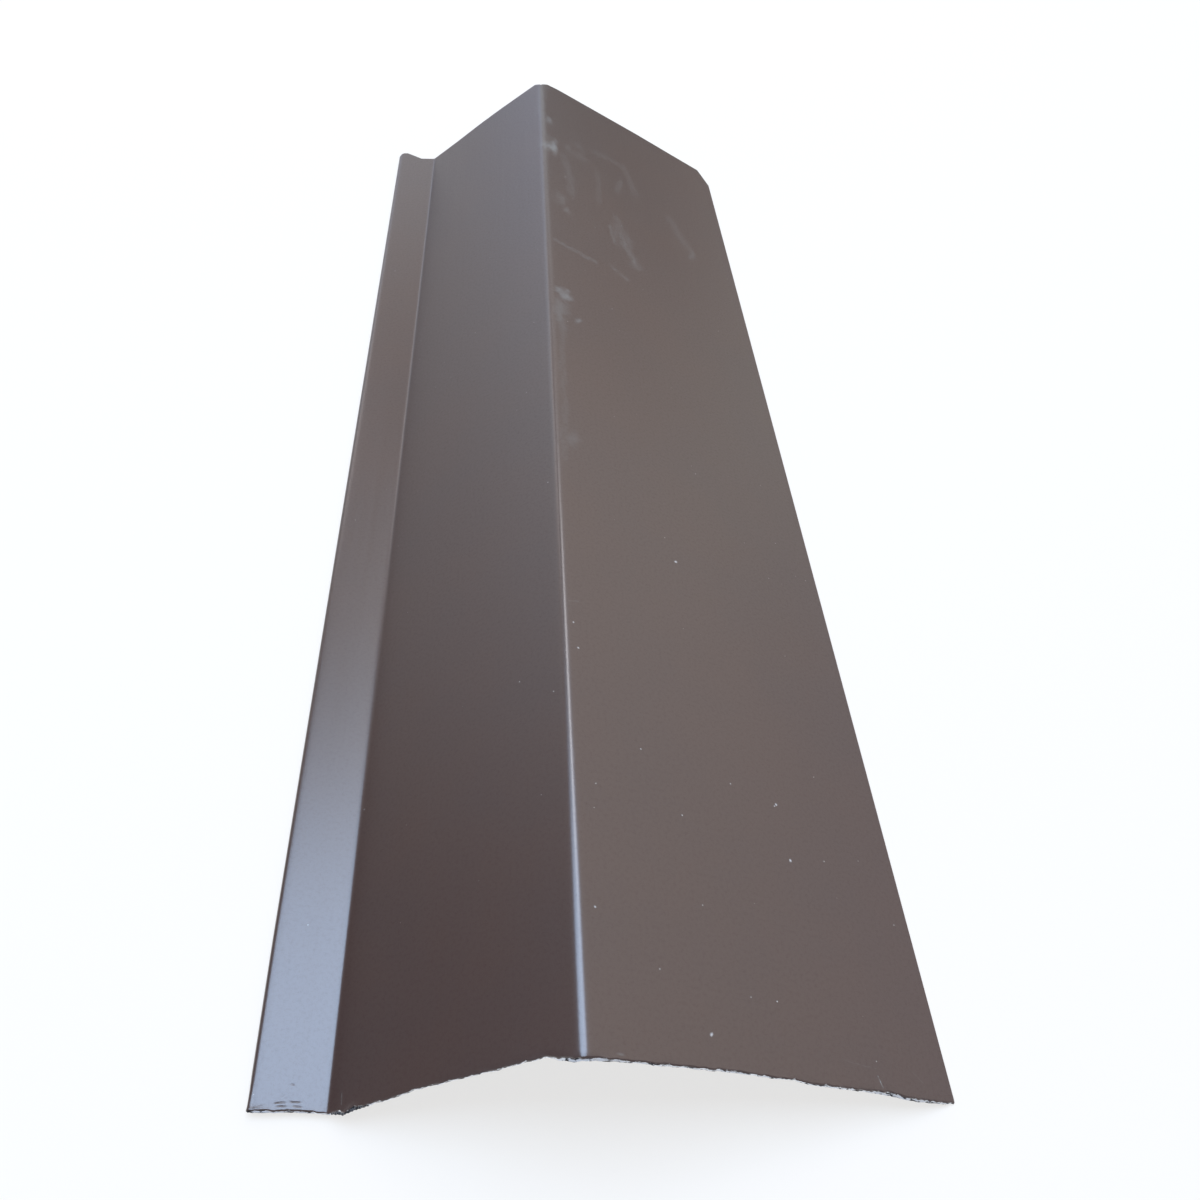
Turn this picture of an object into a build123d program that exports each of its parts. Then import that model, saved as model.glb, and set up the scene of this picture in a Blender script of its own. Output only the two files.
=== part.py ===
"""Gutter apron flashing: one strip of prefinished sheet steel, folded on a brake into three legs.

The deck flange goes on the roof deck, the face hangs over the fascia into the gutter, and the kick throws
the water off the face. The kick's outer edge is hemmed. The strip lies as it would on a floor, ridge up, on
its hem and on the edge of its deck flange.

Millimetres. +X runs across the strip towards the deck flange, +Y along it, +Z up.
The origin is on the floor, under the middle of the strip.
"""

import os
from math import atan, cos, degrees, radians, sin, tan

from build123d import *

# Stock
length = 610.0
sheet = 0.6

# Leg widths, from fold line to fold line or edge, on the middle of the sheet's thickness
deck_flange = 127.0
face = 85.0
kick = 23.5

# How far the edge of the kick is folded back under it
hem_width = 6.5

# Folds, as the angle in degrees that the sheet turns through
ridge_bend = 58.75
kick_bend = 35.0

# Radii on the inside of the folds
ridge_radius = 2.2
kick_radius = 2.0
hem_radius = 0.9

# Corner snipped off the deck flange at the far end, where the next strip laps over it
clip_along = 14.0
clip_across = 7.0

# Radii on the middle of the sheet's thickness, where the legs are measured
ridge_line_radius = ridge_radius + sheet / 2
kick_line_radius = kick_radius + sheet / 2
hem_line_radius = hem_radius + sheet / 2

# Distance from each fold line to the flat of the legs beside it
ridge_setback = ridge_line_radius * tan(radians(ridge_bend) / 2)
kick_setback = kick_line_radius * tan(radians(kick_bend) / 2)
hem_setback = hem_radius + sheet

# The section, drawn from the free edge of the hem to the edge of the deck flange
with BuildSketch() as section:
    with BuildLine():
        hem_return = PolarLine((hem_width, 0), hem_width - hem_setback, 180)
        hem_fold = JernArc(hem_return @ 1, hem_return % 1, hem_line_radius, -180)
        kick_flat = PolarLine(
            hem_fold @ 1, kick - hem_setback - kick_setback, direction=hem_fold % 1
        )
        kick_fold = JernArc(kick_flat @ 1, kick_flat % 1, kick_line_radius, kick_bend)
        face_flat = PolarLine(
            kick_fold @ 1, face - kick_setback - ridge_setback, direction=kick_fold % 1
        )
        ridge_fold = JernArc(face_flat @ 1, face_flat % 1, ridge_line_radius, -ridge_bend)
        deck_flat = PolarLine(
            ridge_fold @ 1, deck_flange - ridge_setback, direction=ridge_fold % 1
        )
    trace(line_width=sheet)

# The strip tips until the edge of the deck flange and one of the lines under the kick are on the floor
deck_foot = deck_flat @ 1 + (deck_flat % 1).rotate(Axis.Z, -90) * sheet / 2
kick_feet = [point - Vector(0, sheet / 2) for point in (hem_return @ 0, hem_return @ 1, kick_flat @ 1)]
floor_slope = max((deck_foot.Y - foot.Y) / (deck_foot.X - foot.X) for foot in kick_feet)
lean = -atan(floor_slope)
outline = section.sketch.rotate(Axis.Z, degrees(lean)).bounding_box()
section_plane = Plane(
    origin=(-outline.center().X, 0, -outline.min.Y),
    x_dir=(cos(lean), 0, sin(lean)),
    z_dir=(0, -1, 0),
)

with BuildPart() as gutter_apron:
    with BuildSketch(section_plane):
        add(section.sketch)
    extrude(amount=length / 2, both=True)
    deck_edge = gutter_apron.faces().sort_by(Axis.X)[-1]
    far_corner = deck_edge.edges().sort_by(Axis.Y)[-1]
    chamfer(far_corner, length=clip_along, length2=clip_across, reference=deck_edge)
gutter_apron.part.label = "gutter_apron"

os.makedirs("parts", exist_ok=True)
export_step(gutter_apron.part, "parts/gutter_apron.step")

print("lean", round(degrees(lean), 3), "degrees")
print("ridge angle", 180 - ridge_bend, "kick angle", 180 - kick_bend)
print("size", gutter_apron.part.bounding_box().size)
print("faces", len(gutter_apron.part.faces()), "volume", round(gutter_apron.part.volume))
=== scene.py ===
# %% [markdown]
# # Gutter apron flashing
# A gutter apron is a strip of painted sheet steel. A roofer nails its wide leg to the edge of the roof
# deck, and the sloping leg carries the water past the fascia into the gutter. This one is a single folded
# piece, lying on the floor with its ridge up. The near end was cut by hand with snips, so bare steel
# shows there.
#
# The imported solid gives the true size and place. We load it first and never move it.

import bpy
import numpy as np
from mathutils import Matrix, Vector


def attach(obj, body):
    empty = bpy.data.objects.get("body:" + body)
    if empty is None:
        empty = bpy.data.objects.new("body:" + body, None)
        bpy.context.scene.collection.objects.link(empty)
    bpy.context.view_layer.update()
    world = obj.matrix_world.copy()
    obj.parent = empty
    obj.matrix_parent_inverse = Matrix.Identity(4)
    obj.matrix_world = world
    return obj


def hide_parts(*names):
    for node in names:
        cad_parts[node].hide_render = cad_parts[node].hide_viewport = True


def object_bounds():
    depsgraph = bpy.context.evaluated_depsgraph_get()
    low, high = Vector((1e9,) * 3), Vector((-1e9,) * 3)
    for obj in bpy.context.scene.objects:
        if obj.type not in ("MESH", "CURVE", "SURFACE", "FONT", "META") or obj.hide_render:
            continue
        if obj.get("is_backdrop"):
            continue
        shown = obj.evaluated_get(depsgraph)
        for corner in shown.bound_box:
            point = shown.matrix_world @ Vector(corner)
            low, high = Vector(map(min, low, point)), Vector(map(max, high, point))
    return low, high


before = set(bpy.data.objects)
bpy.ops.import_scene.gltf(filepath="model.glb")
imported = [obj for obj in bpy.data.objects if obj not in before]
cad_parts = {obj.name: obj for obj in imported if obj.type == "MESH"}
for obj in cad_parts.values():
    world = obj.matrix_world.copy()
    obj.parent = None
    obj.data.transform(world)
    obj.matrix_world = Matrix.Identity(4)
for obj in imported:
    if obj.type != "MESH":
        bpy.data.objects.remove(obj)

cad_low, cad_high = (np.array(corner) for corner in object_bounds())
strip_length = cad_high[1] - cad_low[1]
print("solid from", cad_low.round(4), "to", cad_high.round(4), "m")

# %% [markdown]
# ## The folded section
# On the real strip the sheet never changes thickness: a brake only turns it. So the section is best
# written as a walk along the middle of the sheet: so far straight on, then so many degrees round. We
# start at the free edge of the hem, which is tucked under the kick, and end at the raw edge of the deck
# flange. These are the sizes that the solid was folded to.

# %% Sizes of the sheet, in metres
MM = 0.001
SHEET = 0.6 * MM
DECK_FLANGE = 127.0 * MM
FACE = 85.0 * MM
KICK = 23.5 * MM
HEM_WIDTH = 6.5 * MM
RIDGE_BEND = np.radians(58.75)
KICK_BEND = np.radians(35.0)

# Fold radii on the middle of the sheet
RIDGE_RADIUS = 2.2 * MM + SHEET / 2
KICK_RADIUS = 2.0 * MM + SHEET / 2
HEM_RADIUS = 0.9 * MM + SHEET / 2

ridge_setback = RIDGE_RADIUS * np.tan(RIDGE_BEND / 2)
kick_setback = KICK_RADIUS * np.tan(KICK_BEND / 2)
hem_setback = HEM_RADIUS + SHEET / 2

# Each stretch of the walk: its length, the angle it turns through (left is positive), its columns of mesh
STRETCHES = {
    "hem_return": (HEM_WIDTH - hem_setback, 0.0, 12),
    "hem_fold": (np.pi * HEM_RADIUS, -np.pi, 14),
    "kick": (KICK - hem_setback - kick_setback, 0.0, 54),
    "kick_fold": (KICK_BEND * KICK_RADIUS, KICK_BEND, 8),
    "face": (FACE - kick_setback - ridge_setback, 0.0, 180),
    "ridge_fold": (RIDGE_BEND * RIDGE_RADIUS, -RIDGE_BEND, 14),
    "deck": (DECK_FLANGE - ridge_setback, 0.0, 250),
}
stretch_ends = np.cumsum([stretch[0] for stretch in STRETCHES.values()])
stretch_starts = dict(zip(STRETCHES, np.concatenate([[0.0], stretch_ends])))
sheet_width = stretch_ends[-1]
ridge_at = stretch_starts["ridge_fold"] + STRETCHES["ridge_fold"][0] / 2
print("sheet before folding:", round(sheet_width / MM, 1), "mm wide")


# %% Walk along the section
# Share of a fold's length over which its turn eases in and out; the hem was squeezed, so it turns more
# evenly
SPRING = {"hem_fold": 0.366, "kick_fold": 0.5, "ridge_fold": 0.5}
WALK_STEPS = 40000


def walk_section(developed):
    """Point (x, z) and heading on the middle of the sheet, at distances measured on the flat sheet.

    The heading starts at 180 degrees, and each fold adds its turn along an S-curve: a hyperbolic tangent
    of the distance from the fold's middle. The point is the running sum of the heading's cosine and sine.
    """
    fine = np.linspace(0, sheet_width, WALK_STEPS + 1)
    heading = np.full_like(fine, np.pi)
    for name, spring in SPRING.items():
        length, turn, _ = STRETCHES[name]
        from_middle = fine - stretch_starts[name] - length / 2
        heading += turn * (1 + np.tanh(from_middle / (spring * length))) / 2
    x = np.cumsum(np.cos(heading)) * fine[1]
    z = np.cumsum(np.sin(heading)) * fine[1]
    return [np.interp(developed, fine, values) for values in (x, z, heading)]


columns = [
    stretch_starts[name] + np.linspace(0, length, count, endpoint=False)
    for name, (length, _, count) in STRETCHES.items()
]
developed = np.concatenate([*columns, [sheet_width]])
across = developed - ridge_at
middle_x, middle_z, heading = walk_section(developed)
normal_x = -np.sin(heading)
normal_z = np.cos(heading)
middle_x += cad_low[0] - (middle_x + normal_x * SHEET / 2).min()
middle_z -= (middle_z + normal_z * SHEET / 2).min()
print("section reaches", round((middle_x.max() - cad_high[0]) / MM, 2), "mm past the solid's right edge")

# %% [markdown]
# ## The snipped near end
# Hand snips leave a cut that wanders by a millimetre or two, one straight bite after another. The blades
# also roll the paint over the edge, and the sheet tears through the last of its thickness, so the torn
# face leans out below the paint. We could model bites one by one with a knife tool, but a cut is only a
# line across the flat sheet: how far back it lies at each place. A few points give the bites, and seeded
# wobbles give the tearing.


# %% The line of the cut
def wobble(where, spacing, seed):
    """Smooth random values from -1 to 1: seeded values one spacing apart, joined by half cosine waves."""
    place = (where - where.min()) / spacing
    low = place.astype(int)
    smooth = (1 - np.cos(np.pi * (place - low))) / 2
    knots = np.random.default_rng(seed).uniform(-1, 1, low.max() + 2)
    return knots[low] * (1 - smooth) + knots[low + 1] * smooth


# Place, as the distance from the ridge towards the deck flange's edge, how far back the torn metal ends
# there, and how far the tear leans out below the paint, in millimetres
BITES = [
    (-118, 0.1, 0.3), (-108, 0.1, 0.6), (-103, -0.1, 0.7), (-101, -0.1, 0.4), (-94, -0.1, 0.45),
    (-86, -0.7, 0.5), (-84, -1.2, 0.3), (-79, -2.1, 1.5), (-76, -1.8, 1.3), (-70, -0.9, 0.4),
    (-67, -0.6, 0.1), (-61, -0.4, 0.1), (-53, 0.6, 0.1), (-28, 1.0, 0.05), (-11, 1.5, 0.1),
    (-3, -1.2, 1.0), (6, -0.9, 0.7), (14, -0.4, 0.35), (31, 0.0, 0.3), (40, 0.2, 0.45), (66, 0.4, 0.15),
    (75, -0.3, 0.3), (92, -0.1, 0.3), (102, -0.4, 0.8), (109, -1.0, 0.8), (116, -1.0, 0.9),
    (121, -0.8, 0.45), (127, -0.3, 0.1),
]
bite_at, bite_back, bite_lean = np.array(BITES).T * MM
TOOTH_PITCH = 0.7 * MM
TOOTH_DEPTH = 0.35 * MM
SERRATED = (-84 * MM, -69 * MM)

in_teeth = (across > SERRATED[0]) & (across < SERRATED[1])
teeth = TOOTH_DEPTH * in_teeth * (across / TOOTH_PITCH % 1.0)
snags = (0.13 * wobble(across, 2.3 * MM, 3) + 0.09 * wobble(across, 1.0 * MM, 4)) * MM
cut_back = cad_low[1] + np.interp(across, bite_at, bite_back) + snags + teeth
ragged = 0.75 + 0.25 * wobble(across, 3.1 * MM, 6) + 0.25 * wobble(across, 1.2 * MM, 7)
torn_lean = np.interp(across, bite_at, bite_lean) * ragged
cut_painted = cut_back + torn_lean - 0.5 * teeth
print("cut wanders over", round(np.ptp(cut_painted) / MM, 2), "mm")

# %% [markdown]
# ## From a flat sheet to a handled one
# A perfect prism looks wrong, because thin steel is never quite flat. The wide legs swell by a fraction
# of a millimetre between their folds, and the snips left creases near the cut and pinched the hem there.
# Each of these is a small shift added to the walk, worked out for the whole grid at once: rows run along
# the strip, columns across it. Rows crowd towards the near cut, where the small shapes are.

# %% Rows along the strip
# Distances from the cut in millimetres where the row spacing changes, and the rows up to the next one
ROW_BANDS = [(0.0, 9), (0.8, 23), (2.8, 14), (5.2, 4), (6.9, 6), (7.5, 5)]
CUT_ZONE = 10.0 * MM
FAR_ZONE = 50.0 * MM
MIDDLE_ROWS = 13
FAR_ROWS = 10
band_starts = [start * MM for start, _ in ROW_BANDS]
band_ends = [*band_starts[1:], CUT_ZONE]
near_rows = [
    np.linspace(start, end, count, endpoint=False)
    for start, end, (_, count) in zip(band_starts, band_ends, ROW_BANDS)
]
middle_rows = np.linspace(CUT_ZONE, strip_length - FAR_ZONE, MIDDLE_ROWS, endpoint=False)
far_rows = np.linspace(strip_length - FAR_ZONE, strip_length, FAR_ROWS)
share = (np.concatenate([*near_rows, middle_rows, far_rows]) / strip_length)[:, None]

CLIP_ALONG = 14.0 * MM
CLIP_ACROSS = 7.0 * MM
clipped = np.clip(1 - (sheet_width - developed) / CLIP_ACROSS, 0, 1)

# The far end was cut askew, with a rounded corner on the kick and a nip at the ridge: distance from the
# ridge, and how far out the end lies, in millimetres
FAR_BITES = [
    (-116, 2.0), (-111, 0.5), (-108.7, -1.5), (-106.9, 2.5), (-105.5, 3.9), (-103, 4.1), (-98, 0.6),
    (-93.5, -2.8), (-85, -2.2), (-66, -1.0), (-48, 1.2), (-31, 2.2), (-4, 2.4), (0, -2.4), (4.3, 2.2),
    (12, 3.6), (70, 3.3), (100, 1.5), (120, 0.5), (127, -1.5),
]
far_at, far_out = np.array(FAR_BITES).T * MM
far_end = cad_high[1] + np.interp(across, far_at, far_out) - CLIP_ALONG * clipped
print(len(share), "rows, and a far end that wanders over", round(np.ptp(far_out) / MM, 1), "mm")


# %% Shifts of a handled sheet
# Swell of a leg: its height in millimetres, and the length in metres and start in radians of its waves
SWELLS = {"face": (0.18, 0.21, 0.6), "deck": (0.32, 0.27, 2.1)}
SLANT_OF_WAVES = 2.0


def swell(along):
    """Outward bow of the two wide legs: half a sine wave between folds, times slow waves along the leg."""
    bow = np.zeros_like(along)
    for name, (height, wave, phase) in SWELLS.items():
        begin, length = stretch_starts[name], STRETCHES[name][0]
        inside = np.clip((developed - begin) / length, 0, 1)
        waves = 0.5 + 0.5 * np.sin(2 * np.pi * along / wave + phase + SLANT_OF_WAVES * inside)
        bow += height * MM * np.sin(np.pi * inside) * waves
    return bow


# Creases in the kick near the cut: distance from the ridge, distance from the cut, half length, slant and
# depth in millimetres
CREASES = [
    (-99.0, 2.3, 1.7, 0.0, 0.10), (-94.6, 2.4, 1.7, 0.0, 0.10), (-98.4, 1.3, 1.6, -0.1, 0.09),
    (-93.7, 1.2, 1.5, -0.2, 0.09), (-98.3, 4.2, 0.7, 0.2, 0.07), (-98.8, 4.9, 0.5, -0.1, 0.06),
    (-97.3, 3.6, 0.6, 0.2, 0.06), (-95.8, 7.2, 0.5, 0.1, 0.10), (-104.2, 1.6, 1.2, 0.3, 0.03),
]
CREASE_WIDTH = 0.17 * MM
PINCH_REACH = 6.0 * MM
PINCH = 0.7
TUCK = 0.6 * MM
TUCK_REACH = 12.0 * MM
on_kick = (developed > stretch_starts["kick"]) & (developed < stretch_starts["kick_fold"])
hem_gap = np.where(developed < stretch_starts["kick"], middle_z[on_kick].max() - middle_z, 0)


def lift(from_cut):
    """Upward shift of the kick and its hem: the hem pinched by the snips, less the creases.

    The pinch fades along the strip as a bell. A crease is a bell across a slanting line.
    """
    shift = PINCH * hem_gap * np.exp(-((from_cut / PINCH_REACH) ** 2))
    for place, back, half_length, slant, depth in CREASES:
        along_crease = (across - place * MM) / (half_length * MM)
        off_crease = (from_cut - back * MM - slant * MM * along_crease) / CREASE_WIDTH
        shift -= depth * MM * on_kick * np.exp(-(along_crease**4) - off_crease**2)
    return shift


CURL_REACH = 2.2 * MM
ROLL_REACH = 0.5 * MM
edge_curl = (0.22 * wobble(across, 9.0 * MM, 8) + 0.12 * wobble(across, 3.0 * MM, 9)) * MM
edge_roll = (0.24 + 0.08 * wobble(across, 1.7 * MM, 10)) * MM


def sheet_side(cut, side):
    """One side of the sheet as a grid of points: the walk carried from the cut to the far end.

    side is +1 for the painted side and -1 for the back. Half the thickness, the swell and the curl at the
    cut go along the sheet's normal, and the lift goes straight up. At the cut the painted edge rolls down
    and the hem is tucked in a little.
    """
    y = cut + share * (far_end - cut)
    from_cut = y - cut
    along = y - cad_low[1]
    curl = edge_curl * np.clip(1 - from_cut / CURL_REACH, 0, 1) ** 2
    roll = edge_roll * np.clip(1 - from_cut / ROLL_REACH, 0, 1) ** 2 * (side > 0)
    out = side * SHEET / 2 + swell(along) + curl - roll
    z = middle_z + normal_z * out + lift(from_cut)
    tuck = TUCK * np.clip((-across - FACE) / KICK, 0, 1) * np.exp(-((from_cut / TUCK_REACH) ** 2))
    points = np.stack([middle_x + normal_x * out + tuck, y, np.maximum(z, 0)], axis=2)
    marks = np.stack([np.broadcast_to(across, y.shape), from_cut, np.full_like(y, side)], axis=2)
    return points, marks


painted, painted_marks = sheet_side(cut_painted, 1)
back, back_marks = sheet_side(cut_back, -1)
print("grid of", painted.shape[0], "rows and", painted.shape[1], "columns on each side")

# %% [markdown]
# ## One closed skin
# The painted side and the back are joined round the deck flange's edge and the hem's edge, so the section
# is a closed loop carried along the strip. The two ends are closed by a ribbon of quads across the
# thickness. The near ribbon has a row of points in the middle, pushed in and out, because a torn edge has
# a bright smooth band and a rough one. All the corners are numbered by arithmetic on the grid, with no
# loop over points.

# %% Points of the skin
rows, count = painted.shape[:2]
loop = 2 * count
skin = np.concatenate([painted, back[:, ::-1]], axis=1).reshape(-1, 3)
skin_marks = np.concatenate([painted_marks, back_marks[:, ::-1]], axis=1).reshape(-1, 3)

TEAR_HEIGHT = 0.55
TEAR_DEPTH = 0.16 * MM
tear = painted[0, 1:-1] * TEAR_HEIGHT + back[0, 1:-1] * (1 - TEAR_HEIGHT)
tear[:, 1] += (TEAR_DEPTH * wobble(across, 0.8 * MM, 11))[1:-1]
tear_marks = painted_marks[0, 1:-1] * np.array([1.0, 1.0, 0.0])
points = np.concatenate([skin, tear])
marks = np.concatenate([skin_marks, tear_marks])
print(loop, "points round the loop and", len(tear), "along the tear")

# %% Faces of the skin
row = np.arange(rows - 1)[:, None] * loop
step = np.arange(loop)
after = (step + 1) % loop
tube = np.stack(np.broadcast_arrays(row + step, row + after, row + loop + after, row + loop + step), axis=2)
tube = tube.reshape(-1, 4)

top = np.arange(count)
under = loop - 1 - top
middle = np.concatenate([[0], rows * loop + np.arange(count - 2), [0]])
upper_tear = np.stack([top[1:-2], middle[1:-2], middle[2:-1], top[2:-1]], axis=1)
lower_tear = np.stack([middle[1:-2], under[1:-2], under[2:-1], middle[2:-1]], axis=1)
tear_ends = [
    (top[0], middle[1], top[1]),
    (top[0], under[0], under[1], middle[1]),
    (top[-2], middle[-2], top[-1]),
    (middle[-2], under[-2], under[-1], top[-1]),
]
last = (rows - 1) * loop
far_ribbon = last + np.stack([top[:-1], top[1:], under[1:], under[:-1]], axis=1)
faces = [*tube.tolist(), *upper_tear.tolist(), *lower_tear.tolist(), *far_ribbon.tolist()]
faces += [tuple(int(corner) for corner in face) for face in tear_ends]

PAINT, BACKER, BARE = range(3)
tube_slot = np.where(step < count - 1, PAINT, np.where(step < count, BARE, BACKER))
tube_slot[loop - 1] = BARE
slots = np.concatenate([np.tile(tube_slot, rows - 1), np.full(len(faces) - len(tube), BARE)])
print(len(tube), "faces round the section and", len(faces) - len(tube), "across its ends")

# %% The mesh
SHARP_ANGLE = np.radians(32)
mesh = bpy.data.meshes.new("gutter_apron_sheet")
mesh.from_pydata(points.tolist(), [], faces)
mesh.polygons.foreach_set("material_index", slots.astype(np.int32))
mesh.polygons.foreach_set("use_smooth", np.ones(len(faces), dtype=bool))
sheet_marks = mesh.attributes.new("sheet", "FLOAT_VECTOR", "POINT")
sheet_marks.data.foreach_set("vector", marks.astype(np.float32).ravel())
mesh.set_sharp_from_angle(angle=SHARP_ANGLE)
mesh.update()

apron = bpy.data.objects.new("gutter_apron_sheet", mesh)
bpy.context.collection.objects.link(apron)
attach(apron, "root")
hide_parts("gutter_apron")
print(len(points), "points and", len(faces), "faces")

# %% [markdown]
# ## Finishes
# Coil paint is laid on the flat sheet by rollers before it is folded, so its grain, streaks and scuffs
# follow the flat sheet. The mesh carries that as an attribute named `sheet`: distance from the ridge,
# distance from the cut, and which side. Effects that more than one finish needs are node groups. A short
# helper adds a node and fills its inputs in order, so that the recipes below read from top to bottom.


# %% Node helpers
def put(tree, kind, *sources, **settings):
    """Adds a node: a source that is a socket is linked to the input in its place, and a value is set."""
    node = tree.nodes.new(kind)
    for name, value in settings.items():
        setattr(node, name, value)
    for socket, source in zip(node.inputs, sources):
        if isinstance(source, bpy.types.NodeSocket):
            tree.links.new(source, socket)
        elif source is not None:
            socket.default_value = source
    return node


def calc(tree, operation, *sources):
    """A Math node's result."""
    return put(tree, "ShaderNodeMath", *sources, operation=operation).outputs[0]


def clamped(tree, operation, *sources):
    """A Math node's result, kept from 0 to 1."""
    return put(tree, "ShaderNodeMath", *sources, operation=operation, use_clamp=True).outputs[0]


def vector_calc(tree, operation, *sources, output=0):
    """A Vector Math node's result: output 0 is the vector and 1 the value."""
    return put(tree, "ShaderNodeVectorMath", *sources, operation=operation).outputs[output]


def ease(tree, value, low, high):
    """0 below low, 1 above high and a smooth step between; low may be the larger."""
    node = put(tree, "ShaderNodeMapRange", value, low, high, 0.0, 1.0, interpolation_type="SMOOTHSTEP")
    return node.outputs[0]


def blend(tree, amount, first, second):
    """Colour that goes from first to second."""
    unused = [None] * 5
    node = put(tree, "ShaderNodeMix", amount, *unused, first, second, data_type="RGBA")
    return node.outputs[2]


def noise(tree, where, scale, detail=2.0, roughness=0.5):
    """Noise from 0 to 1, with so many lumps to the metre."""
    node = put(tree, "ShaderNodeTexNoise", where)
    node.inputs["Scale"].default_value = scale
    node.inputs["Detail"].default_value = detail
    node.inputs["Roughness"].default_value = roughness
    return node.outputs[0]


def new_group(name, inputs, outputs):
    """An empty shader node group with named inputs and outputs, and its two end nodes."""
    group = bpy.data.node_groups.new(name, "ShaderNodeTree")
    for direction, sockets in (("INPUT", inputs), ("OUTPUT", outputs)):
        for socket, kind in sockets.items():
            group.interface.new_socket(socket, in_out=direction, socket_type=f"NodeSocket{kind}")
    return group, group.nodes.new("NodeGroupInput").outputs, group.nodes.new("NodeGroupOutput").inputs


def use(tree, group, *sources):
    """Places a group in a tree, fills its inputs in order and gives back its outputs."""
    return put(tree, "ShaderNodeGroup", *sources, node_tree=group).outputs


def split(tree, vector):
    """The three numbers of a vector."""
    return put(tree, "ShaderNodeSeparateXYZ", vector).outputs


# %% [markdown]
# ## Effects shared by the finishes
# Roller-laid paint dries with a faint pebbled skin called orange peel, and with streaks along the coil.
# Handling adds specks of dust, rubbed smears and scratches, which wander as a hand does. Each group
# answers one question about a place on the flat sheet: how high is the skin here, or how much of this
# mark is here, from 0 to 1. Painting such marks by hand would also work, but a group can be used again on
# another sheet at another size.

# %% Orange peel, coil streaks and gloss grain
PEBBLES_PER_METRE = 620.0
PORES_PER_METRE = 2600.0
PORE_HEIGHT = 0.35
peel, inside, outside = new_group("orange peel", {"Sheet": "Vector"}, {"Height": "Float"})
pebbles = noise(peel, inside["Sheet"], PEBBLES_PER_METRE, 1.5)
pores = noise(peel, inside["Sheet"], PORES_PER_METRE, 1.0)
peel.links.new(calc(peel, "MULTIPLY_ADD", pores, PORE_HEIGHT, pebbles), outside["Height"])

# Streaks to the metre across and along the coil
STREAKS_PER_METRE = (420.0, 5.0, 1.0)
streaks, inside, outside = new_group("coil streaks", {"Sheet": "Vector"}, {"Amount": "Float"})
drawn_out = vector_calc(streaks, "MULTIPLY", inside["Sheet"], STREAKS_PER_METRE)
streaks.links.new(noise(streaks, drawn_out, 1.0, 3.0, 0.6), outside["Amount"])

COARSE_FLECKS_PER_METRE = 800.0
FINE_FLECKS_PER_METRE = 2600.0
FLECK_LEVEL = 0.95
grain, inside, outside = new_group("gloss grain", {"Sheet": "Vector", "Depth": "Float"}, {"Gloss": "Float"})
coarse_flecks = noise(grain, inside["Sheet"], COARSE_FLECKS_PER_METRE, 2.0)
fine_flecks = noise(grain, inside["Sheet"], FINE_FLECKS_PER_METRE, 1.0)
flecks = calc(grain, "ADD", coarse_flecks, fine_flecks)
dull_flecks = clamped(grain, "SUBTRACT", flecks, FLECK_LEVEL)
dimmed = calc(grain, "MULTIPLY", dull_flecks, inside["Depth"])
grain.links.new(calc(grain, "SUBTRACT", 1.0, dimmed), outside["Gloss"])
print("pebbles", round(1 / PEBBLES_PER_METRE / MM, 1), "mm apart")

# %% Dust specks
speck_inputs = {"Sheet": "Vector", "Per metre": "Float", "Largest": "Float", "Share": "Float"}
specks, inside, outside = new_group("dust specks", speck_inputs, {"Amount": "Float"})
spacing = inside["Per metre"]
cell = put(specks, "ShaderNodeTexVoronoi", inside["Sheet"], None, spacing, voronoi_dimensions="2D")
chance = split(specks, cell.outputs["Color"])
radius = calc(specks, "MULTIPLY", chance[0], inside["Largest"])
spot = calc(specks, "LESS_THAN", cell.outputs["Distance"], radius)
kept = calc(specks, "LESS_THAN", chance[1], inside["Share"])
specks.links.new(calc(specks, "MULTIPLY", spot, kept), outside["Amount"])
print(specks.name, "made of", len(specks.nodes), "nodes")

# %% Wander: a place shifted by noise, so that a mark is never ruled or round
WANDER = 3.0
RIPPLES_PER_METRE = 85.0
wander, inside, outside = new_group("wander", {"Sheet": "Vector", "Reach": "Float"}, {"Place": "Vector"})
ripple = put(wander, "ShaderNodeTexNoise", inside["Sheet"], None, RIPPLES_PER_METRE, 3.0)
shift = vector_calc(wander, "SUBTRACT", ripple.outputs["Color"], (0.5, 0.5, 0.5))
shift = vector_calc(wander, "MULTIPLY", shift, inside["Reach"])
shift = vector_calc(wander, "MULTIPLY", shift, (WANDER, WANDER, 0.0))
wander.links.new(vector_calc(wander, "ADD", inside["Sheet"], shift), outside["Place"])
print("ripples", round(1 / RIPPLES_PER_METRE / MM, 1), "mm apart")

# %% Scratches: distance from a line between two places
BREAKS_PER_METRE = 420.0
scratch_inputs = {"Sheet": "Vector", "Start": "Vector", "End": "Vector", "Width": "Float"}
scratch, inside, outside = new_group("scratch", scratch_inputs, {"Amount": "Float"})
shifted = use(scratch, wander, inside["Sheet"], inside["Width"])["Place"]
run = vector_calc(scratch, "SUBTRACT", inside["End"], inside["Start"])
reach = vector_calc(scratch, "SUBTRACT", shifted, inside["Start"])
onto = vector_calc(scratch, "DOT_PRODUCT", reach, run, output=1)
whole = vector_calc(scratch, "DOT_PRODUCT", run, run, output=1)
gone = clamped(scratch, "DIVIDE", onto, whole)
nearest = put(scratch, "ShaderNodeVectorMath", run, operation="SCALE")
scratch.links.new(gone, nearest.inputs["Scale"])
off_line = vector_calc(scratch, "SUBTRACT", reach, nearest.outputs[0])
away = vector_calc(scratch, "LENGTH", off_line, output=1)
line = ease(scratch, calc(scratch, "DIVIDE", away, inside["Width"]), 1.0, 0.3)
broken = ease(scratch, noise(scratch, inside["Sheet"], BREAKS_PER_METRE, 5.0, 0.75), 0.34, 0.60)
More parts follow.
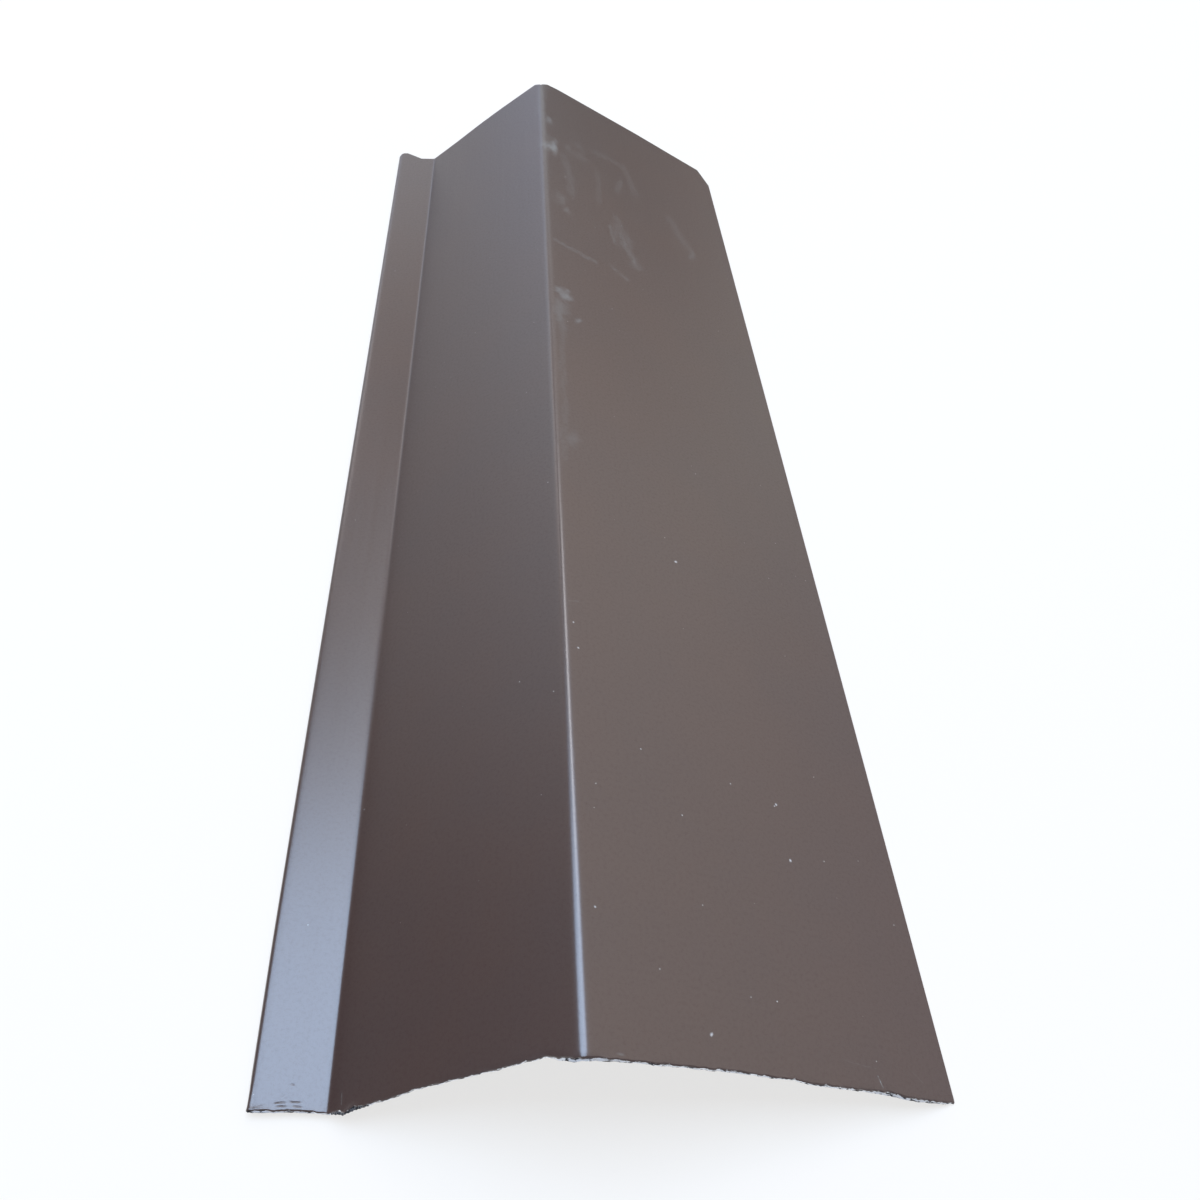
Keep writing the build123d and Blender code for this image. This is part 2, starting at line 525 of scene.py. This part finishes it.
scratch.links.new(calc(scratch, "MULTIPLY", line, broken), outside["Amount"])
print(scratch.name, "made of", len(scratch.nodes), "nodes")

# %% Chalky smears: a soft oval broken up by noise
LUMPS_PER_METRE = 240.0
smear_inputs = {"Sheet": "Vector", "Centre": "Vector", "Reach": "Vector"}
smear, inside, outside = new_group("chalk smear", smear_inputs, {"Amount": "Float"})
shifted = use(smear, wander, inside["Sheet"], split(smear, inside["Reach"])[0])["Place"]
offset = vector_calc(smear, "SUBTRACT", shifted, inside["Centre"])
oval = vector_calc(smear, "LENGTH", vector_calc(smear, "DIVIDE", offset, inside["Reach"]), output=1)
lumps = noise(smear, inside["Sheet"], LUMPS_PER_METRE, 4.0, 0.65)
ragged_oval = calc(smear, "MULTIPLY_ADD", lumps, 1.1, oval)
smear.links.new(ease(smear, ragged_oval, 1.45, 0.55), outside["Amount"])
print("effects:", [group.name for group in bpy.data.node_groups])

# %% [markdown]
# ## Brown paint, back coat and bare steel
# The paint is a satin brown polyester. A clear top gives it a soft gloss, and so it takes the colour of
# whatever stands over it: the flat kick mirrors the lamp, and the sloping face mirrors the dark side of
# the room. The Principled shader's coat layer does that. Where the snips chipped the paint the shader
# turns to metal. The back of the sheet has only a thin wash coat, and the cut face is the steel itself,
# with bright glints and dark shade painted into its colour.

# %% A new material
def new_material(name, coat_roughness=0.03):
    """A material with one Principled shader, its node tree and the flat sheet's coordinates."""
    material = bpy.data.materials.new(name)
    material.use_nodes = True
    tree = material.node_tree
    shader = tree.nodes["Principled BSDF"]
    shader.inputs["Coat Roughness"].default_value = coat_roughness
    shader.inputs["Coat IOR"].default_value = 1.55
    sheet = put(tree, "ShaderNodeAttribute", attribute_name="sheet").outputs["Vector"]
    mesh.materials.append(material)
    return tree, shader.inputs, sheet


# %% Colours of the paint and what lies on it
BROWN = (0.061, 0.0295, 0.0220, 1.0)
BROWN_SHADE = (0.056, 0.0285, 0.0230, 1.0)
CHALK = (0.33, 0.335, 0.31, 1.0)
DUST = (0.60, 0.58, 0.55, 1.0)
STEEL = (0.72, 0.74, 0.77, 1.0)

# %% Marks on the paint
# Smears: distance from the ridge, distance from the cut, half width, half length in millimetres, strength
SMEARS = [
    (4.5, 560, 4.5, 10, 0.26), (4.3, 523, 7.0, 17, 0.50), (0.3, 590, 5.0, 150, 0.13),
    (21.0, 532, 10.0, 14, 0.10), (8.4, 462, 6.0, 12, 0.13), (13.2, 452, 3.5, 6, 0.18),
    (96.7, 475, 6.0, 11, 0.22), (7.0, 361, 6.5, 13, 0.42), (5.6, 344, 5.0, 26, 0.22),
    (13.4, 344, 2.8, 4.5, 0.30), (7.4, 250, 4.0, 9, 0.14), (10.7, 1.0, 1.4, 0.7, 0.22),
]
# Scratches: start and end as distances from the ridge and the cut, width in millimetres, strength
SCRATCHES = [
    ((97.8, 4.3), (98.8, 1.5), 0.28, 1.0), ((-79.8, 5.0), (-79.6, 2.0), 0.2, 0.45),
    ((85.6, 7.9), (98.0, 6.4), 0.12, 0.25), ((112.0, 8.2), (116.0, 4.6), 0.12, 0.25),
    ((44.5, 471.0), (53.6, 425.0), 4.5, 0.13), ((45.3, 455.0), (53.2, 427.0), 2.2, 0.22),
    ((41.0, 458.0), (42.6, 442.0), 3.5, 0.16), ((38.3, 412.0), (46.5, 407.0), 2.8, 0.14),
    ((13.3, 518.0), (17.0, 475.0), 4.0, 0.11), ((34.0, 548.0), (54.8, 549.0), 4.5, 0.09),
    ((54.8, 549.0), (62.2, 519.0), 5.0, 0.08), ((48.0, 508.0), (52.1, 525.0), 3.0, 0.11),
    ((36.5, 520.0), (34.1, 481.0), 3.0, 0.08), ((85.4, 508.0), (97.5, 474.0), 6.0, 0.10),
    ((5.0, 413.0), (27.8, 409.0), 2.3, 0.17), ((4.6, 340.0), (3.3, 235.0), 2.2, 0.10),
    ((1.5, 157.0), (5.3, 158.0), 0.5, 0.20),
]
# Lint: distance from the ridge, distance from the cut and half size in millimetres
LINT = [
    (39.4, 9.1, 0.8), (80.5, 71.3, 0.7), (51.4, 196.6, 1.1), (79.2, 92.4, 0.7), (5.5, 41.6, 0.6),
    (24.9, 25.8, 0.5), (3.2, 147.0, 0.6), (4.8, 135.7, 0.6),
]
print(len(SMEARS), "smears,", len(SCRATCHES), "scratches and", len(LINT), "flecks of lint")

# %% Colour of the brown paint
tree, paint, sheet = new_material("brown_coil_paint", coat_roughness=0.28)
paint["Specular IOR Level"].default_value = 1.0
place = split(tree, sheet)
mottle = ease(tree, noise(tree, sheet, 22.0, 4.0, 0.6), 0.30, 0.70)
streak = use(tree, streaks, sheet)["Amount"]
colour = blend(tree, mottle, BROWN, BROWN_SHADE)

chalk = None
for centre_x, centre_y, half_width, half_length, strength in SMEARS:
    centre = (centre_x * MM, centre_y * MM, 1.0)
    amount = use(tree, smear, sheet, centre, (half_width * MM, half_length * MM, 1.0))["Amount"]
    amount = calc(tree, "MULTIPLY", amount, strength)
    chalk = amount if chalk is None else calc(tree, "MAXIMUM", chalk, amount)
for start, end, width, strength in SCRATCHES:
    ends = [(at[0] * MM, at[1] * MM, 1.0) for at in (start, end)]
    amount = use(tree, scratch, sheet, *ends, width * MM)["Amount"]
    chalk = calc(tree, "MAXIMUM", chalk, calc(tree, "MULTIPLY", amount, strength))
colour = blend(tree, chalk, colour, CHALK)

DUST_PER_METRE = 230.0
DUST_RADIUS = 0.065
DUSTY_SHARE = 0.026
DUST_STRENGTH = 0.7
fine_dust = use(tree, specks, sheet, DUST_PER_METRE, DUST_RADIUS, DUSTY_SHARE)["Amount"]
dust = calc(tree, "MULTIPLY", fine_dust, DUST_STRENGTH)
for centre_x, centre_y, half_size in LINT:
    centre = (centre_x * MM, centre_y * MM, 1.0)
    fleck = use(tree, smear, sheet, centre, (half_size * MM, half_size * MM, 1.0))["Amount"]
    dust = calc(tree, "MAXIMUM", dust, fleck)
colour = blend(tree, dust, colour, DUST)
print("colour takes", len(tree.nodes), "nodes so far")

# %% Chips, gloss and skin of the brown paint
CHIP_REACH = 2.2 * MM
CHIP_START = -1.15 * MM
chip_noise = noise(tree, sheet, BREAKS_PER_METRE, 3.0, 0.6)
chipping = calc(tree, "MULTIPLY_ADD", chip_noise, CHIP_REACH, CHIP_START)
bare = calc(tree, "LESS_THAN", place[1], chipping)
colour = blend(tree, bare, colour, STEEL)
tree.links.new(colour, paint["Base Color"])
tree.links.new(bare, paint["Metallic"])

dulled = clamped(tree, "ADD", chalk, dust)
STREAK_ROUGHNESS = 0.08
SATIN_ROUGHNESS = 0.29
CHALK_ROUGHNESS = 0.3
satin = calc(tree, "MULTIPLY_ADD", streak, STREAK_ROUGHNESS, SATIN_ROUGHNESS)
tree.links.new(calc(tree, "MULTIPLY_ADD", dulled, CHALK_ROUGHNESS, satin), paint["Roughness"])
gloss = calc(tree, "MULTIPLY", calc(tree, "SUBTRACT", 1.0, dulled), calc(tree, "SUBTRACT", 1.0, bare))
gloss = calc(tree, "MULTIPLY", gloss, use(tree, grain, sheet, 1.0)["Gloss"])
tree.links.new(gloss, paint["Coat Weight"])
PEEL_HEIGHT = 0.05 * MM
PAINT_PEEL = 0.22
skin_bump = put(tree, "ShaderNodeBump", PAINT_PEEL, PEEL_HEIGHT)
tree.links.new(use(tree, peel, sheet)["Height"], skin_bump.inputs["Height"])
tree.links.new(skin_bump.outputs[0], paint["Normal"])
tree.links.new(skin_bump.outputs[0], paint["Coat Normal"])
print("paint tree has", len(tree.nodes), "nodes")

# %% Wash coat on the back
WASH = (0.30, 0.27, 0.235, 1.0)
WASH_THIN = (0.24, 0.225, 0.205, 1.0)
SPECKS_PER_METRE = 150.0
SPECK_RADIUS = 0.07
SPECK_SHARE = 0.15
SPECK_STRENGTH = 0.4
BACK_PEEL = 0.3
tree, backer, sheet = new_material("wash_back_coat")
streak = use(tree, streaks, sheet)["Amount"]
colour = blend(tree, ease(tree, streak, 0.25, 0.75), WASH, WASH_THIN)
dust = use(tree, specks, sheet, SPECKS_PER_METRE, SPECK_RADIUS, SPECK_SHARE)["Amount"]
colour = blend(tree, calc(tree, "MULTIPLY", dust, SPECK_STRENGTH), colour, CHALK)
tree.links.new(colour, backer["Base Color"])
tree.links.new(calc(tree, "MULTIPLY_ADD", streak, 0.2, 0.42), backer["Roughness"])
back_bump = put(tree, "ShaderNodeBump", BACK_PEEL, PEEL_HEIGHT)
tree.links.new(use(tree, peel, sheet)["Height"], back_bump.inputs["Height"])
tree.links.new(back_bump.outputs[0], backer["Normal"])
print("back coat tree has", len(tree.nodes), "nodes")

# %% Bare steel of the cuts
# The cut face's colour is painted light. Noise picks bright patches of painted glint and dark patches of
# painted shade. A painted dark line runs under the paint's edge and along the back edge, and the snip teeth
# get painted glints with painted shade between them. Away from the near cut the colour goes to a mottled
# mid grey between the two colours.
PAINTED_GLINT_STEEL = (0.94, 0.96, 1.00, 1.0)
PAINTED_SHADE_STEEL = (0.06, 0.062, 0.07, 1.0)
TEARS_PER_METRE = 330.0
SIDE_STRETCH = 1.2 * MM
PAINTED_EDGE_SHADE = -0.10
PAINTED_GLINT_LEVELS = (0.40, 0.48)
TORN_BUMP = 0.5
TORN_HEIGHT = 0.1 * MM
FRINGE_HALF_WIDTH = 7.0 * MM
TORN_FROM_CUT = 1.0 * MM
SLIT_FROM_CUT = 4.0 * MM
tree, steel, sheet = new_material("cut_steel")
steel["Metallic"].default_value = 1.0
place = split(tree, sheet)
long_way = vector_calc(tree, "MULTIPLY", sheet, (1.0, 1.0, SIDE_STRETCH))
torn = noise(tree, long_way, TEARS_PER_METRE, 3.0, 0.55)
off_middle = calc(tree, "MULTIPLY", place[2], place[2])
# Painted shade: darker towards the paint's edge and the back edge of the cut
painted_light_level = calc(tree, "MULTIPLY_ADD", off_middle, PAINTED_EDGE_SHADE, torn)
painted_glint = ease(tree, painted_light_level, *PAINTED_GLINT_LEVELS)
saw = calc(tree, "PINGPONG", place[0], TOOTH_PITCH / 2)
from_teeth = calc(tree, "ABSOLUTE", calc(tree, "SUBTRACT", place[0], np.mean(SERRATED)))
fringe = calc(tree, "LESS_THAN", from_teeth, FRINGE_HALF_WIDTH)
# Painted glints on the teeth of the serrated stretch, with painted shade between them
combed = ease(tree, saw, 0.75 * TOOTH_PITCH / 2, TOOTH_PITCH / 2)
painted_tooth_glint = calc(tree, "MULTIPLY", painted_glint, combed)
painted_glint = put(tree, "ShaderNodeMix", fringe, None, painted_glint, painted_tooth_glint).outputs[0]
slit = calc(tree, "MULTIPLY_ADD", torn, 0.3, 0.2)
torn_end = ease(tree, place[1], SLIT_FROM_CUT, TORN_FROM_CUT)
painted_glint = put(tree, "ShaderNodeMix", torn_end, None, slit, painted_glint).outputs[0]
tree.links.new(blend(tree, painted_glint, PAINTED_SHADE_STEEL, PAINTED_GLINT_STEEL), steel["Base Color"])
tree.links.new(calc(tree, "MULTIPLY_ADD", torn, 0.4, 0.35), steel["Roughness"])
torn_bump = put(tree, "ShaderNodeBump", TORN_BUMP, TORN_HEIGHT)
tree.links.new(torn, torn_bump.inputs["Height"])
tree.links.new(torn_bump.outputs[0], steel["Normal"])
print("materials:", [material.name for material in mesh.materials])

# %% [markdown]
# ## Floor, light and room
# The strip lies on a pale floor under one wide, cool lamp overhead, like a sky seen through a large
# rooflight. A window ahead gives the ridge its thin highlight, and a smaller and dimmer doorway stands to
# its left. Paint with a gloss shows the room as much as its own colour, so the room is part of the
# likeness: dark at the skirting, cool and bright a third of the way up ahead, and warm on the right. Two
# colour ramps on the direction of view give that. A picture of a room would also do, but a ramp is easier
# to adjust. Where the floor is seen or mirrored it is mostly a plain white glow, so that it stays pale,
# and the rest takes the strip's shadow.

# %% Floor
FLOOR_WHITE = (0.95, 0.90, 0.82, 1.0)
FLOOR_GLOW = 0.72
FLOOR_DROP = 0.1 * MM
FLOOR_REACH = 60.0
bpy.ops.mesh.primitive_plane_add(size=2 * FLOOR_REACH, location=(0, 0, -FLOOR_DROP))
floor = bpy.context.object
floor.name = "floor"
floor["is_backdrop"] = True
floor_paint = bpy.data.materials.new("floor_white")
floor_paint.use_nodes = True
tree = floor_paint.node_tree
tree.nodes.clear()
matt = put(tree, "ShaderNodeBsdfDiffuse", FLOOR_WHITE)
glow = put(tree, "ShaderNodeEmission", (1.0, 1.0, 1.0, 1.0), 1.0)
ray = put(tree, "ShaderNodeLightPath").outputs
mirrored = calc(tree, "MAXIMUM", ray["Is Glossy Ray"], ray["Is Transmission Ray"])
in_view = calc(tree, "MAXIMUM", ray["Is Camera Ray"], mirrored)
seen = calc(tree, "MULTIPLY", in_view, FLOOR_GLOW)
mixed = put(tree, "ShaderNodeMixShader", seen, matt.outputs[0], glow.outputs[0])
put(tree, "ShaderNodeOutputMaterial", mixed.outputs[0])
floor.data.materials.append(floor_paint)
print("floor", 2 * FLOOR_REACH, "m wide")

# %% Lamps
def area_lamp(name, glow, size, place, towards=None):
    """A soft rectangular lamp whose face shows the given brightness, hidden from the camera."""
    glow = np.array(glow)
    data = bpy.data.lights.new(name, "AREA")
    data.shape = "RECTANGLE"
    data.size, data.size_y = size
    data.color = glow / glow.max()
    data.energy = glow.max() * np.pi * size[0] * size[1]
    lamp = bpy.data.objects.new(name, data)
    lamp.location = place
    if towards is not None:
        lamp.rotation_euler = (Vector(towards) - Vector(place)).to_track_quat("-Z", "Y").to_euler()
    lamp.visible_camera = False
    bpy.context.collection.objects.link(lamp)
    print(name, "of", round(data.energy), "W")


STRIP = (0.0, 0.0, 0.0)
area_lamp("rooflight", glow=(2.55, 3.45, 4.95), size=(4.4, 2.4), place=(-0.7, 0.64, 3.5))
area_lamp("window", glow=(4.0, 3.9, 4.0), size=(0.70, 1.00), place=(0.20, 1.32, 1.99), towards=STRIP)
area_lamp("doorway", glow=(1.5, 1.45, 1.5), size=(0.6, 0.45), place=(-0.86, 1.80, 1.36), towards=STRIP)

# %% Room
def ramp(tree, value, stops):
    """Colour ramp with the given stops."""
    node = put(tree, "ShaderNodeValToRGB", value)
    elements = node.color_ramp.elements
    while len(elements) < len(stops):
        elements.new(0.5)
    for element, (position, colour) in zip(elements, stops):
        element.position = position
        element.color = (*colour, 1.0)
    return node.outputs[0]


# Colours from left to right low in the room, and from low to high straight ahead
LOW_ROOM = [
    (0.03, (0.06, 0.04, 0.04)), (0.08, (0.22, 0.18, 0.15)), (0.12, (0.45, 0.41, 0.39)),
    (0.20, (0.34, 0.30, 0.29)), (0.26, (0.50, 0.50, 0.53)), (0.30, (0.48, 0.50, 0.62)),
    (0.34, (0.74, 0.82, 1.10)), (0.40, (0.40, 0.42, 0.60)), (0.50, (0.10, 0.10, 0.14)),
    (0.65, (0.00, 0.00, 0.00)), (0.72, (0.15, 0.09, 0.07)), (0.80, (0.50, 0.49, 0.44)),
    (0.95, (0.36, 0.31, 0.36)),
]
AHEAD = [
    (0.36, (0.96, 1.12, 1.26)), (0.48, (0.55, 0.40, 0.27)),
    (0.64, (0.00, 0.00, 0.00)), (0.80, (0.42, 0.34, 0.16)),
]
SKIRTING = (0.02, 0.018, 0.016, 1.0)
RIGHT = (0.82, 0.75, 0.70, 1.0)
LEFT = (0.22, 0.19, 0.18, 1.0)
BEHIND = (0.25, 0.25, 0.26, 1.0)

# Where one part of the room gives way to the next, on the direction's own x, y or z
SKIRTING_TOP = (0.09, 0.17)
LOW_TO_HIGH = (0.16, 0.42)
TO_RIGHT = (0.05, 0.45)
TO_LEFT = (-0.55, -0.90)
TO_BACK = (0.15, -0.25)

# %% The room as the world
world = bpy.data.worlds.new("room")
bpy.context.scene.world = world
world.use_nodes = True
tree = world.node_tree
tree.nodes.clear()
direction = split(tree, put(tree, "ShaderNodeTexCoord").outputs["Generated"])
sideways = calc(tree, "MULTIPLY_ADD", direction[0], 0.5, 0.5)
wall = ramp(tree, sideways, LOW_ROOM)
low_room = blend(tree, ease(tree, direction[2], *SKIRTING_TOP), SKIRTING, wall)
ahead = ramp(tree, direction[2], AHEAD)
high_room = blend(tree, ease(tree, direction[0], *TO_RIGHT), ahead, RIGHT)
high_room = blend(tree, ease(tree, direction[0], *TO_LEFT), high_room, LEFT)
room = blend(tree, ease(tree, direction[2], *LOW_TO_HIGH), low_room, high_room)
room = blend(tree, ease(tree, direction[1], *TO_BACK), room, BEHIND)
background = put(tree, "ShaderNodeBackground", room, 1.0)
put(tree, "ShaderNodeOutputWorld", background.outputs[0])
print("room has", len(LOW_ROOM) + len(AHEAD), "colours in its ramps")

# %% [markdown]
# ## Camera
# The photograph was taken from above the near end, looking along the strip, with a wide lens: the far end
# looks less than half as wide as the near one. Its optical centre is not in the middle of the picture, so
# the picture was trimmed, and the camera needs a small lens shift.

# %% Camera
# Width of the photograph, focal length and optical centre in its pixels; place in metres
PICTURE = 1200.0
FOCAL_LENGTH = 949.28
OPTICAL_CENTRE = (564.0, 700.0)
CAMERA_PLACE = (-0.03426, -0.37862, 0.29376)
CAMERA_TURN = np.radians([37.516, -3.642, -1.867])
camera_data = bpy.data.cameras.new("camera")
camera_data.sensor_width = 36.0
camera_data.lens = camera_data.sensor_width * FOCAL_LENGTH / PICTURE
camera_data.shift_x = 0.5 - OPTICAL_CENTRE[0] / PICTURE
camera_data.shift_y = OPTICAL_CENTRE[1] / PICTURE - 0.5
camera_data.clip_start = 0.01
camera = bpy.data.objects.new("camera", camera_data)
camera.location = CAMERA_PLACE
camera.rotation_euler = CAMERA_TURN
bpy.context.collection.objects.link(camera)
bpy.context.scene.camera = camera
bpy.context.scene.view_settings.view_transform = "Standard"
shift = np.round([camera_data.shift_x, camera_data.shift_y], 4)
print("lens", round(camera_data.lens, 2), "mm, shift", shift)
